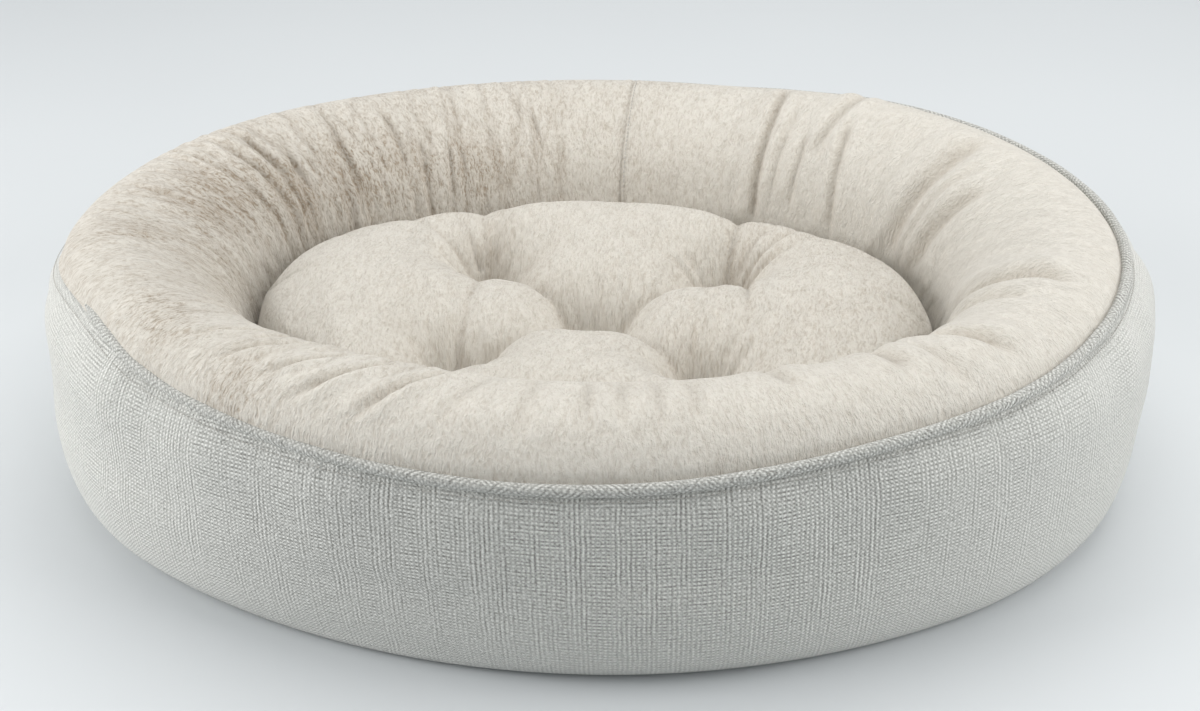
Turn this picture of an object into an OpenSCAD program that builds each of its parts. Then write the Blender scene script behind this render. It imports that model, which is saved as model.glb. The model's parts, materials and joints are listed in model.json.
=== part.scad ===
// Oval bolster pet bed with a lift-out tufted cushion.
// Frame: origin on the floor under the middle of the bed, +X along the bed's
// length, +Z up. All sizes in millimetres.

/* [Bed] */
// Length over the widest bulge of the wall
bed_length = 900; // [700:10:1100]
// Width over the widest bulge of the wall
bed_width = 740; // [600:10:890]
// Height of the rim's crest above the floor
bed_height = 200; // [160:2:240]

/* [Bolster section] */
// Height of the wall's widest bulge
belly_height = 135; // [100:1:150]
// How far the wall's foot is set in from the widest bulge
foot_inset = 36; // [30:1:60]
// How far the crest is set in from the widest bulge
crest_inset = 74; // [60:1:95]
// How far the inner wall's deepest bulge is set in from the widest bulge
waist_inset = 166; // [150:1:190]
// Height of the inner wall's deepest bulge
waist_height = 88; // [75:1:105]
// How far the inner wall's foot is set in from the widest bulge
inner_foot_inset = 146; // [130:1:148]
// Squareness of the wall's tuck under: 2 is an ellipse, more is squarer
tuck_power = 2.6; // [2:0.1:3]
// Angle up the rim, from the widest bulge to the crest, where the piping is sewn
piping_angle = 44; // [35:1:65]

/* [Cushion] */
// Free gap between the cushion's edge and the inner wall
cushion_gap = 3; // [2:0.5:8]
// Height of the cushion's flat top at the roots of its lobes
cushion_top_height = 132; // [110:1:150]
// Height of the cushion's edge seam
cushion_seam_height = 72; // [50:1:90]
// How far the rounded edge of the top reaches in from the seam
top_round = 42; // [25:1:60]
// How far the rounded edge of the underside reaches in from the seam
bottom_round = 40; // [25:1:60]
// Spacing of the outer tufts along the bed
tuft_pitch_x = 200; // [150:2:230]
// Spacing of the outer tufts across the bed
tuft_pitch_y = 172; // [120:2:210]
// Depth of the tuft dimples in the top
tuft_depth = 44; // [20:1:55]
// Radius of a tuft dimple at the cushion's top
tuft_radius = 50; // [35:1:60]

/* [Fabric] */
// Thickness of the woven outer fabric
linen_thickness = 1.4; // [0.8:0.1:3]
// Thickness of the plush with its pile
plush_thickness = 7; // [4:0.5:12]
// Thickness of the plain lining and underside fabrics
lining_thickness = 1; // [0.6:0.1:2]
// Thickness of the wadding in the floor
wadding_thickness = 6; // [3:0.5:15]
// Diameter of the piping, over its cover
piping_diameter = 10; // [7:0.5:14]
// Diameter of the cord inside the piping
cord_diameter = 7; // [4:0.5:6.9]
// Diameter of the sewing thread
thread_diameter = 0.8; // [0.5:0.1:1]

/* [Tuft buttons] */
// Diameter of the flat buttons that hold the tuft ties under the cushion
button_diameter = 20; // [14:1:26]
// Thickness of a tuft button
button_thickness = 3; // [2:0.5:4]
// Diameter of a tuft tie
tie_diameter = 2; // [1:0.2:3]

/* [Hidden] */
$fn = 96;

linen = "#bdbcb6";
plush = "#e2dacb";
plain_cloth = "#b9b7b0";
fibre = "#f4f3ee";
thread = "#d6d1c5";
horn = "#d9d2c0";

// Clearance between neighbouring layers
ply_gap = 0.3;
// Width of an open seam that a thread lies in
seam_gap = thread_diameter + 0.4;
// Segments in each quarter of a section
steps = 9;

// Four arcs that meet with one tangent make the oval. Their centres are the
// corners of 3-4-5 triangles, so an arc ends on a line of slope 4 to 3.
half_length = bed_length / 2;
half_width = bed_width / 2;
oval_excess = half_length - half_width;
end_centre = 1.5 * oval_excess;
side_centre = 2 * oval_excess;
end_radius = half_length - end_centre;
side_radius = half_width + side_centre;
join_ray = 600 * [3, 4];

// Floor layers, from the base panel up
wadding_level = lining_thickness + ply_gap;
lining_level = wadding_level + wadding_thickness + ply_gap;
floor_level = lining_level + lining_thickness;

// Depths of the fibre below the linen and below the plush
under_linen = linen_thickness + ply_gap;
under_plush = plush_thickness + ply_gap;

// The piping lies in a groove between the wall and the plush.
piping_radius = piping_diameter / 2;
piping_rise = 0.6 * piping_radius;
piping_bore = cord_diameter / 2 + 0.1;
groove_half = sqrt((piping_radius + ply_gap) ^ 2 - piping_rise ^ 2);
groove_angle = groove_half / crest_inset * 180 / PI;
tail_thickness = 2 * linen_thickness;
tail_depth = plush_thickness - 0.5;

// Cushion layers
cushion_inset = waist_inset + cushion_gap;
cushion_bottom = floor_level + ply_gap;
top_edge = cushion_seam_height + seam_gap / 2;
bottom_edge = cushion_seam_height - seam_gap / 2;
cup_radius = button_diameter / 2 + 1.5;
cup_depth = button_thickness + 3;
tie_bore = tie_diameter / 2 + 0.2;
tufts = [[0, 0], for (x = [-1, 1], y = [-1, 1]) [x * tuft_pitch_x / 2, y * tuft_pitch_y / 2]];

// Points of the bolster's section at a depth below its surface: x is minus the
// inset from the widest bulge, y is the height. t runs from 0 to 90 degrees.
function power_of(v) = v ^ (2 / tuck_power);
function tuck(t, d) = [
    -foot_inset + (foot_inset - d) * power_of(sin(t)),
    belly_height - (belly_height - d) * power_of(cos(t)),
];
function rim(t, d) = [
    -crest_inset + (crest_inset - d) * cos(t),
    belly_height + (bed_height - belly_height - d) * sin(t),
];
function inner(t, d) = [
    -crest_inset - (waist_inset - crest_inset - d) * sin(t),
    waist_height + (bed_height - waist_height - d) * cos(t),
];
function heel(t, d) = [
    -inner_foot_inset - (waist_inset - inner_foot_inset - d) * cos(t),
    waist_height - (waist_height - floor_level - d) * sin(t),
];
function sweep(a, b) = [for (i = [0:steps]) a + (b - a) * i / steps];
function reversed(v) = [for (i = [len(v) - 1:-1:0]) v[i]];
function stretch_of(v, first, last) = [for (i = [first:last]) v[i]];

wall_end = piping_angle - groove_angle;
plush_start = piping_angle + groove_angle;
function wall_line(d) = [
    for (t = sweep(0, 90)) tuck(t, d),
    for (t = sweep(wall_end / steps, wall_end)) rim(t, d),
];
function plush_line(d) = [
    for (t = sweep(plush_start, 90)) rim(t, d),
    for (t = sweep(90 / steps, 90)) inner(t, d),
    for (t = sweep(90 / steps, 90)) heel(t, d),
];
// Outward direction of the rim at the piping
rim_normal = let (n = [
    cos(piping_angle) / crest_inset,
    sin(piping_angle) / (bed_height - belly_height),
]) n / norm(n);
piping_centre = rim(piping_angle, 0) + piping_rise * rim_normal;
piping_turn = atan2(rim_normal[1], rim_normal[0]);

// Revolves a section about a centre, and keeps the arc between the join ray and
// its mirror image.
module arc(centre, radius, mirrored) {
    other_ray = [join_ray[0] * mirrored[0], join_ray[1] * mirrored[1]];
    intersection() {
        translate(centre) rotate_extrude() translate([radius, 0]) children();
        translate([centre[0], centre[1], -1]) linear_extrude(bed_height + 20)
            polygon([[0, 0], join_ray, other_ray]);
    }
}

// Sweeps a section, drawn at minus its inset, around the whole oval.
module around_oval() {
    for (turn = [0, 180]) rotate(turn) {
        arc([end_centre, 0], end_radius, [1, -1]) children();
        arc([0, -side_centre], side_radius, [-1, 1]) children();
    }
}

// The flat oval at an inset from the widest bulge
module oval(inset) {
    for (side = [-1, 1])
        translate([side * end_centre, 0]) circle(end_radius - inset);
    intersection() {
        translate([0, side_centre]) circle(side_radius - inset);
        translate([0, -side_centre]) circle(side_radius - inset);
        polygon([
            [end_centre, 0], [end_centre, 0] + join_ray, [-end_centre - join_ray[0], join_ray[1]],
            [-end_centre, 0], [-end_centre, 0] - join_ray, [end_centre + join_ray[0], -join_ray[1]],
        ]);
    }
}

module plate(inset, level, thickness) {
    translate([0, 0, level]) linear_extrude(thickness) oval(inset);
}

// A thread that runs around the oval
module thread_ring(centre) {
    color(thread) around_oval() translate(centre) circle(d = thread_diameter);
}

// A thread that follows a section line, in the middle of the back
module join_stitching(under, over) {
    color(thread) translate([0, half_width, 0]) rotate([90, 0, 90])
        linear_extrude(thread_diameter, center = true)
            polygon(concat(under, reversed(over)));
}

module wall_panel() {
    color(linen) around_oval()
        polygon(concat(wall_line(0), reversed(wall_line(linen_thickness))));
}

// Stitching of the band's one join, up the middle of the back, on the wall's own
// section points
module wall_join_thread() {
    function line(d) = stretch_of(wall_line(d), 3, 2 * steps);
    join_stitching(line(-0.1), line(-0.1 - thread_diameter));
}

module bolster_plush() {
    color(plush) around_oval()
        polygon(concat(plush_line(0), reversed(plush_line(plush_thickness))));
}

// Stitching of the plush's join, down the inner side of the back, on the plush's own
// section points
module plush_join_thread() {
    function line(d) = stretch_of(plush_line(d), steps + 2, 2 * steps + 1);
    join_stitching(line(-0.1), line(-0.1 - thread_diameter));
}

module bolster_fill() {
    color(fibre) around_oval()
        polygon(concat(
            wall_line(under_linen), [rim(wall_end, under_plush)], plush_line(under_plush),
            [[-inner_foot_inset, under_linen]]
        ));
}

module piping_cover() {
    color(linen) around_oval()
        translate(piping_centre) rotate(piping_turn) difference() {
            union() {
                circle(piping_radius);
                translate([-piping_rise - tail_depth, -tail_thickness / 2])
                    square([piping_rise + tail_depth, tail_thickness]);
            }
            circle(piping_bore);
        }
}

module piping_cord() {
    color(fibre) around_oval() translate(piping_centre) circle(d = cord_diameter);
}

// Stitch line on the wall, just below the piping
module piping_thread() {
    thread_ring(rim(wall_end - 2, -0.1 - thread_diameter / 2));
}

module base_panel() {
    color(plain_cloth) plate(foot_inset + seam_gap, 0, lining_thickness);
}

module base_thread() {
    thread_ring([-foot_inset - seam_gap / 2, linen_thickness / 2]);
}

module floor_wadding() {
    color(fibre) plate(inner_foot_inset + seam_gap, wadding_level, wadding_thickness);
}

module floor_lining() {
    color(plain_cloth) plate(inner_foot_inset + seam_gap, lining_level, lining_thickness);
}

module floor_thread() {
    thread_ring([-inner_foot_inset - seam_gap / 2, lining_level + lining_thickness / 2]);
}

// Depth of a tuft dimple at a radius from its tie
function dimple(r) = tuft_depth * (1 + cos(180 * r / tuft_radius)) / 2;

// The space that the tufts press out of the top, at a depth below its surface
module dimples(d) {
    for (tuft = tufts) translate([tuft[0], tuft[1], cushion_top_height - d])
        rotate_extrude() polygon([
            for (r = sweep(0, tuft_radius)) [r, -dimple(r)],
            [tuft_radius, 1 + d], [0, 1 + d],
        ]);
}

// The cushion above its edge seam, at a depth below its surface. It starts at
// the top's sewn edge or lower.
module upper_half(d, start) {
    height = cushion_top_height - top_edge - d;
    difference() {
        union() {
            plate(cushion_inset + top_round, start, cushion_top_height - d - start);
            around_oval() polygon([
                [-cushion_inset - top_round, start],
                if (start < top_edge) [-cushion_inset - d, start],
                for (t = sweep(0, 90)) [
                    -cushion_inset - top_round + (top_round - d) * cos(t),
                    top_edge + height * sin(t),
                ],
            ]);
        }
        dimples(d);
    }
}

// The cushion below its edge seam, at a depth below its surface. It ends at the
// underside's sewn edge or higher.
module lower_half(d, end) {
    height = bottom_edge - cushion_bottom - d;
    difference() {
        union() {
            plate(cushion_inset + bottom_round, cushion_bottom + d, end - cushion_bottom - d);
            around_oval() polygon([
                for (t = sweep(90, 0)) [
                    -cushion_inset - bottom_round + (bottom_round - d) * cos(t),
                    bottom_edge - height * sin(t),
                ],
                if (end > bottom_edge) [-cushion_inset - d, end],
                [-cushion_inset - bottom_round, end],
            ]);
        }
        for (tuft = tufts) translate([tuft[0], tuft[1], cushion_bottom - 1])
            cylinder(r = cup_radius + d, h = cup_depth + 1 + d);
    }
}

module tie_bores() {
    for (tuft = tufts) translate([tuft[0], tuft[1], cushion_bottom])
        cylinder(r = tie_bore, h = cushion_top_height);
}

module cushion_top() {
    color(plush) difference() {
        upper_half(0, top_edge);
        upper_half(plush_thickness, top_edge - 1);
        tie_bores();
    }
}

module cushion_underside() {
    color(plain_cloth) difference() {
        lower_half(0, bottom_edge);
        lower_half(lining_thickness, bottom_edge + 1);
        tie_bores();
    }
}

module cushion_fill() {
    color(fibre) difference() {
        union() {
            upper_half(under_plush, cushion_seam_height);
            lower_half(lining_thickness + ply_gap, cushion_seam_height);
        }
        tie_bores();
    }
}

module cushion_edge_thread() {
    thread_ring([-cushion_inset - thread_diameter, cushion_seam_height]);
}

module tuft_ties() {
    start = cushion_bottom + 1 + button_thickness;
    end = cushion_top_height - tuft_depth + 1;
    color(thread) for (tuft = tufts) translate([tuft[0], tuft[1], start])
        cylinder(d = tie_diameter, h = end - start);
}

module tuft_buttons() {
    color(horn) for (tuft = tufts) translate([tuft[0], tuft[1], cushion_bottom + 1])
        cylinder(d = button_diameter, h = button_thickness);
}

wall_panel();
wall_join_thread();
bolster_plush();
plush_join_thread();
bolster_fill();
piping_cover();
piping_cord();
piping_thread();
base_panel();
base_thread();
floor_wadding();
floor_lining();
floor_thread();
cushion_top();
cushion_underside();
cushion_fill();
cushion_edge_thread();
tuft_ties();
tuft_buttons();
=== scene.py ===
"""Oval bolster pet bed with a lift-out tufted cushion, built around its fixed frame."""

import json
import math
import bpy
import numpy as np
from mathutils import Matrix, Vector


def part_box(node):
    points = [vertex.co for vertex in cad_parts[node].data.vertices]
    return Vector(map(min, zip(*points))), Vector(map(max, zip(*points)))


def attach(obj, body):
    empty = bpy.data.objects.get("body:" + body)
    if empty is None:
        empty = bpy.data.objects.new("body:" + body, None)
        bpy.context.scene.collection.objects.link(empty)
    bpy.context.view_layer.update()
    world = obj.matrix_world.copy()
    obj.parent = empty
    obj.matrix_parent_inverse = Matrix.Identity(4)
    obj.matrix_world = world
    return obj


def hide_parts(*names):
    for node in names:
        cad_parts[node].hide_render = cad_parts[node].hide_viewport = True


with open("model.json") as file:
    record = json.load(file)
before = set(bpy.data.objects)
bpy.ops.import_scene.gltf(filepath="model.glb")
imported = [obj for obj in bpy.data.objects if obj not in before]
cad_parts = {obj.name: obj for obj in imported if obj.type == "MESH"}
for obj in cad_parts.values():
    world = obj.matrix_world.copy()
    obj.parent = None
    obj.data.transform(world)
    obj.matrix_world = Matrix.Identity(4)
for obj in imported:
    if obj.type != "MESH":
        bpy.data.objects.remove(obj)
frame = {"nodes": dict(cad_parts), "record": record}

bl_info = {
    "name": "Bolster Pet Bed",
    "version": (1, 0, 0),
    "blender": (4, 5, 0),
    "location": "View3D > Sidebar > Pet Bed",
    "description": "Builds the cloth, plush, piping and stitching of an oval bolster pet bed",
    "category": "Add Mesh",
}

JOIN_SLOPE = math.atan2(4, 3)  # the oval's four arcs meet on 3-4-5 rays
BACK = 90  # degrees around the ring to the middle of the back, where the joins are
WALL_COLUMNS = 900  # points around the wall, the piping and the stitch rows
RIM_COLUMNS = 420  # points around the rim while its cloth settles
RIM_FINER = 3  # how many times as many it has when finished
RIM_EVEN_INSET = 0.08  # the inset at which those points are evenly spaced
TUFT_REACH = 0.030  # how far a tuft's pull spreads, in metres
CLOTH_PRESSURE = 4.0
CLOTH_FRAMES = 20
CLOTH_SPARE = 0.06  # how much a loose cloth may grow, as a share
RIM_LIMIT, CUSHION_LIMIT = 0.012, 0.010  # how far settling may move a point, in metres
STITCH_SPACING, STITCH_LENGTH, STITCH_RADIUS = 0.0042, 0.0031, 0.0004


# ---------------------------------------------------------------- the oval


def half_sizes():
    """Half the length and half the width over the widest bulge, from the wall."""
    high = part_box("wall_panel")[1]
    return high[0], high[1]


def oval(turn, inset):
    """The plan point at an inset from the widest bulge, where the outward normal has
    the angle turn. Two end arcs and two side arcs share tangents: each point is its
    arc's centre plus the arc's radius less the inset, along the normal."""
    half_length, half_width = half_sizes()
    excess = half_length - half_width
    end_centre, side_centre = 1.5 * excess, 2 * excess
    end_radius, side_radius = half_length - end_centre, half_width + side_centre
    turn = np.asarray(turn)
    from_axis = np.arctan2(np.abs(np.sin(turn)), np.abs(np.cos(turn)))
    on_end = from_axis < JOIN_SLOPE
    radius = np.where(on_end, end_radius, side_radius) - inset
    x = np.where(on_end, end_centre * np.sign(np.cos(turn)), 0) + radius * np.cos(turn)
    y = np.where(on_end, 0, -side_centre * np.sign(np.sin(turn))) + radius * np.sin(turn)
    return x, y


def even_turns(count, inset):
    """Normal angles spaced evenly in arc length at an inset, starting at the middle of
    the back, and the length around the oval there."""
    fine = np.linspace(0, 2 * np.pi, 4001) + np.pi / 2
    x, y = oval(fine, inset)
    run = np.concatenate([[0], np.cumsum(np.hypot(np.diff(x), np.diff(y)))])
    turns = np.interp(np.arange(count) * run[-1] / count, run, fine)
    return turns, run[-1]


# ---------------------------------------------------------------- mesh making


def grid_faces(rows, columns, ring):
    """Quads of a grid whose vertices run along its columns first. With ring, the last
    column joins the first."""
    across = columns if ring else columns - 1
    r, c = np.meshgrid(np.arange(rows - 1), np.arange(across), indexing="ij")
    here, there = r * columns + c, r * columns + (c + 1) % columns
    return np.stack([here, there, there + columns, here + columns], -1).reshape(-1, 4)


def new_mesh(name, points, faces, uv=None):
    """A mesh object of points and quads, smooth, with an optional UV for each corner."""
    mesh = bpy.data.meshes.new(name)
    mesh.vertices.add(len(points))
    mesh.vertices.foreach_set("co", np.asarray(points, np.float32).ravel())
    mesh.loops.add(faces.size)
    mesh.loops.foreach_set("vertex_index", faces.astype(np.int32).ravel())
    mesh.polygons.add(len(faces))
    mesh.polygons.foreach_set("loop_start", np.arange(0, faces.size, faces.shape[1], dtype=np.int32))
    mesh.update(calc_edges=True)
    mesh.polygons.foreach_set("use_smooth", np.ones(len(faces), bool))
    if uv is not None:
        mesh.uv_layers.new(name="cloth").data.foreach_set("uv", np.asarray(uv, np.float32).ravel())
    mesh.validate()
    piece = bpy.data.objects.new(name, mesh)
    bpy.context.scene.collection.objects.link(piece)
    return piece


def ring_mesh(name, points, around, along):
    """A closed band from a rows by columns by 3 array. Its UV runs in metres: around
    for each column and along for each row, with the seam column's end at the full
    length."""
    rows, columns = points.shape[:2]
    faces = grid_faces(rows, columns, True)
    u = np.linspace(0, around, columns + 1)
    r, c = np.meshgrid(np.arange(rows - 1), np.arange(columns), indexing="ij")
    corner_rows = np.stack([r, r, r + 1, r + 1], -1)
    corner_columns = np.stack([c, c + 1, c + 1, c], -1)
    v = along if np.ndim(along) == 2 else np.repeat(np.asarray(along)[:, None], columns, 1)
    v = np.concatenate([v, v[:, :1]], 1)
    uv = np.stack([u[corner_columns], v[corner_rows, corner_columns]], -1)
    return new_mesh(name, points.reshape(-1, 3), faces, uv)


def normals_of(points):
    """Outward unit normals of a band that closes on itself, from the cross product of
    its two directions."""
    around = np.roll(points, -1, 1) - np.roll(points, 1, 1)
    across = np.gradient(points, axis=0)
    n = np.cross(around, across)
    return n / np.maximum(np.linalg.norm(n, axis=-1, keepdims=True), 1e-12)


def paint(piece, name, values):
    """Stores one number for each vertex, for the materials to read."""
    attribute = piece.data.attributes.new(name, "FLOAT", "POINT")
    attribute.data.foreach_set("value", np.asarray(values, np.float32).ravel())


def swell(distance, width):
    """A smooth hump: one at the middle, a third at one width and nearly nothing at two."""
    return np.exp(-((distance / width) ** 2))


def smooth_step(low, high, value):
    """Nought at low, one at high, and a smooth cubic between. It falls as the value
    grows where low is the larger."""
    t = np.clip((value - low) / (high - low), 0, 1)
    return t * t * (3 - 2 * t)


def wander(turns, seed, waves, low=1):
    """A smooth random line around the ring: a sum of sines with seeded phases."""
    chance = np.random.default_rng(seed)
    k = np.arange(low, low + waves)
    phase = chance.uniform(0, 2 * np.pi, waves)
    size = chance.uniform(0.4, 1, waves) / np.sqrt(waves)
    return (size[:, None] * np.sin(k[:, None] * np.asarray(turns).ravel() + phase[:, None])).sum(0)


# ---------------------------------------------------------------- cloth


def settle(points, faces, pinned, slack, limit):
    """Lets a stuffed cloth find its shape: the filling presses it outward, the pinned
    seams and tufts hold, and it may grow where slack is one. Returns how each point
    moved, no further than limit."""
    scene = bpy.context.scene
    cloth = new_mesh("settling", points, faces)
    held = cloth.vertex_groups.new(name="held")
    held.add([int(i) for i in np.flatnonzero(pinned)], 1.0, "REPLACE")
    loose = cloth.vertex_groups.new(name="loose")
    for step in range(1, 6):
        chosen = np.flatnonzero(np.round(slack * 5) == step)
        loose.add([int(i) for i in chosen], step / 5, "REPLACE")
    modifier = cloth.modifiers.new("cloth", "CLOTH")
    feel = modifier.settings
    feel.quality = 5
    feel.mass = 0.25
    feel.tension_stiffness = 20
    feel.compression_stiffness = 20
    feel.shear_stiffness = 5
    feel.bending_stiffness = 0.2
    feel.vertex_group_mass = "held"
    feel.vertex_group_shrink = "loose"
    feel.shrink_min = 0.0
    feel.shrink_max = -CLOTH_SPARE
    feel.use_pressure = True
    feel.uniform_pressure_force = CLOTH_PRESSURE
    feel.effector_weights.gravity = 0
    modifier.collision_settings.use_collision = False
    modifier.point_cache.frame_start = 1
    modifier.point_cache.frame_end = CLOTH_FRAMES
    for frame_number in range(1, CLOTH_FRAMES + 1):
        scene.frame_set(frame_number)
    settled = cloth.evaluated_get(bpy.context.evaluated_depsgraph_get()).data
    moved = np.empty(len(points) * 3, np.float32)
    settled.vertices.foreach_get("co", moved)
    moved = moved.reshape(-1, 3) - points
    bpy.data.objects.remove(cloth, do_unlink=True)
    scene.frame_set(1)
    reach = np.linalg.norm(moved, axis=1, keepdims=True)
    return moved * np.minimum(1, limit / np.maximum(reach, 1e-9))


def finer(grid, times, axis, ring=False):
    """Resamples a grid along one axis, times as fine, on smooth cubics through its
    points. A ring wraps round; otherwise the last point stays the last."""
    grid = np.moveaxis(grid, axis, 0)
    count = len(grid)
    place = np.arange(count * times if ring else (count - 1) * times + 1) / times
    start = np.minimum(place.astype(int), count - 1 if ring else count - 2)
    t = (place - start).reshape(-1, *[1] * (grid.ndim - 1))

    def at(offset):
        """The grid's points that lie an offset from the start of each stretch."""
        index = start + offset
        return grid[index % count if ring else np.clip(index, 0, count - 1)]

    before, here, there, after = at(-1), at(0), at(1), at(2)
    square = 2 * before - 5 * here + 4 * there - after
    cube = 3 * (here - there) + after - before
    curve = here + 0.5 * t * (there - before + t * (square + t * cube))
    return np.moveaxis(curve, 0, axis)


# ---------------------------------------------------------------- the section


def section(quarter, degrees, sizes):
    """Inset and height on one quarter of the bolster's section: the tuck under the
    wall, the rim up to the crest, the inner wall down to its waist, and the heel."""
    a = np.radians(degrees)
    crest, foot = sizes.crest_inset, sizes.foot_inset
    belly, waist = sizes.belly_height, sizes.waist_height
    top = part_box("bolster_plush")[1][2]
    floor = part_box("floor_lining")[1][2]
    if quarter == "tuck":
        power = 2 / sizes.tuck_power
        return foot - foot * np.sin(a) ** power, belly - belly * np.cos(a) ** power
    if quarter == "rim":
        return crest - crest * np.cos(a), belly + (top - belly) * np.sin(a)
    if quarter == "inner":
        return crest + (sizes.waist_inset - crest) * np.sin(a), waist + (top - waist) * np.cos(a)
    heel = sizes.inner_foot_inset
    return heel + (sizes.waist_inset - heel) * np.cos(a), waist - (waist - floor) * np.sin(a)


def apart(turns, place):
    """Degrees around the ring from a place to each turn, between -180 and 180."""
    return (np.degrees(turns) - place + 180) % 360 - 180


def beside(turns, place, width):
    """A hump around the ring: one at a place, and fading over a width, both in degrees."""
    return swell(apart(turns, place), width)


def piping_degrees(turns, sizes):
    """How far up the rim the piping is sewn, in degrees: high at the right end and the
    front left, low at the front and the back left, with a slight hand-sewn waver."""
    tilt = 11 * np.cos(turns - np.radians(20))
    dips = 25 * beside(turns, 214, 28) - 11 * beside(turns, 276, 34) - 4 * beside(turns, 150, 25)
    return sizes.piping_degrees + tilt + dips + 0.8 * wander(turns, 4, 7, 3)


def tucked(turns):
    """How far the plush hangs over the piping: wholly at the left end, partly beside it."""
    degrees = np.degrees(turns) % 360
    leaving = 0.55 * smooth_step(200, 226, degrees) + 0.45 * smooth_step(240, 282, degrees)
    return smooth_step(100, 140, degrees) * (1 - leaving)


def rim_sag(turns, height, sizes):
    """How far the rim's form is lowered: its filling is thinner along the back and the
    left, and fuller along the front."""
    degrees = np.degrees(turns) % 360
    back = smooth_step(58, 84, degrees) * (1 - smooth_step(175, 215, degrees))
    front = smooth_step(232, 256, degrees) * (1 - smooth_step(290, 320, degrees))
    share = smooth_step(sizes.belly_height, 0.2, height)
    return (0.015 * back + 0.004 * beside(turns, 30, 30) - 0.006 * front) * share


def plan_points(turns, inset, height, sizes):
    """Rows of points: each row's inset and height carried around the oval, with the
    rim's sag and a slight flattening of the left end."""
    outer = smooth_step(0.08, 0.04, np.broadcast_to(inset, np.shape(height)))
    flattened = 0.007 * beside(turns, 188, 36) * swell(height - 0.12, 0.06) * outer
    x, y = oval(turns, inset + flattened)
    return np.stack([x, y, np.broadcast_to(height - rim_sag(turns, height, sizes), x.shape)], -1)


def rim_rows(turns, sizes, fine):
    """The plush's path over the rim for every column: inset, height and the run along
    it. It starts at the piping, climbs to the crest and goes down to the heel."""
    start = piping_degrees(turns, sizes) - 4 * tucked(turns)
    rim = start + (90 - start) * np.linspace(0, 1, 4 * fine, endpoint=False)[:, None]
    down = np.repeat(np.linspace(0, 90, 6 * fine, endpoint=False)[:, None], len(turns), 1)
    under = np.repeat(np.linspace(0, 80, 2 * fine)[:, None], len(turns), 1)
    parts = [section("rim", rim, sizes), section("inner", down, sizes), section("heel", under, sizes)]
    inset = np.concatenate([p[0] for p in parts])
    height = np.concatenate([p[1] for p in parts])
    step = np.hypot(np.diff(inset, axis=0), np.diff(height, axis=0))
    run = np.concatenate([np.zeros((1, len(turns))), np.cumsum(step, 0)])
    return inset, height, run


FINE_WRINKLES = 420
# Big folds of the plush: place around the ring in degrees, how far they lean on the way
# down in degrees, width and depth in metres, and where along the plush they begin and end.
RIM_FOLDS = [
    (90.5, 0, 0.0024, 0.0018, 0.01, 0.25),
    (73, -2, 0.005, 0.005, 0.02, 0.20),
    (70, -1, 0.004, 0.002, 0.05, 0.18),
    (67, -1, 0.004, 0.003, 0.08, 0.18),
    (64, 1, 0.006, 0.004, 0.00, 0.12),
    (63, -4, 0.005, 0.004, 0.06, 0.19),
    (43, 1, 0.011, 0.006, 0.03, 0.19),
    (36, 3, 0.006, 0.003, 0.06, 0.19),
    (29, 5, 0.009, 0.005, 0.07, 0.19),
    (352, 3, 0.011, 0.003, 0.09, 0.18),
    (342, 8, 0.010, 0.008, 0.03, 0.17),
    (334, 5, 0.006, 0.003, 0.05, 0.15),
    (318, -4, 0.008, 0.006, 0.02, 0.12),
    (307, 0, 0.009, 0.003, 0.01, 0.09),
    (303, 1, 0.008, 0.005, 0.04, 0.13),
    (293, -1, 0.008, 0.004, 0.05, 0.13),
    (284, 0, 0.006, 0.002, 0.03, 0.12),
    (281, 0, 0.005, 0.002, 0.03, 0.12),
    (278, 0, 0.006, 0.002, 0.03, 0.12),
    (275, 0, 0.005, 0.002, 0.03, 0.12),
    (270, 0, 0.008, 0.002, 0.02, 0.12),
    (263, 3, 0.008, 0.002, 0.02, 0.12),
    (256, 7, 0.006, 0.0045, 0.02, 0.13),
    (250, 8, 0.006, 0.005, 0.02, 0.13),
    (246, 8, 0.005, 0.0045, 0.03, 0.13),
    (241, 7, 0.006, 0.0045, 0.03, 0.14),
    (236, 6, 0.005, 0.003, 0.03, 0.15),
    (198, -6, 0.006, 0.003, 0.01, 0.10),
    (171, 1, 0.005, 0.0025, 0.05, 0.18),
    (148, 1, 0.004, 0.003, 0.04, 0.19),
    (143, 3, 0.004, 0.004, 0.05, 0.20),
    (136, 9, 0.004, 0.003, 0.07, 0.20),
    (126, 1, 0.004, 0.0025, 0.07, 0.18),
    (120, -1, 0.004, 0.0025, 0.06, 0.16),
    (113, 1, 0.004, 0.003, 0.11, 0.20),
]
# Where the pile is browner and more flecked: place in degrees, distance along the plush
# and radius in metres.
MOTTLED_PLACES = [
    (189, 0.07, 0.022), (162, 0.11, 0.026), (227, 0.045, 0.026), (234, 0.04, 0.022),
    (245, 0.02, 0.03), (125, 0.14, 0.04), (112, 0.16, 0.03), (150, 0.15, 0.04), (172, 0.12, 0.03),
]


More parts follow.
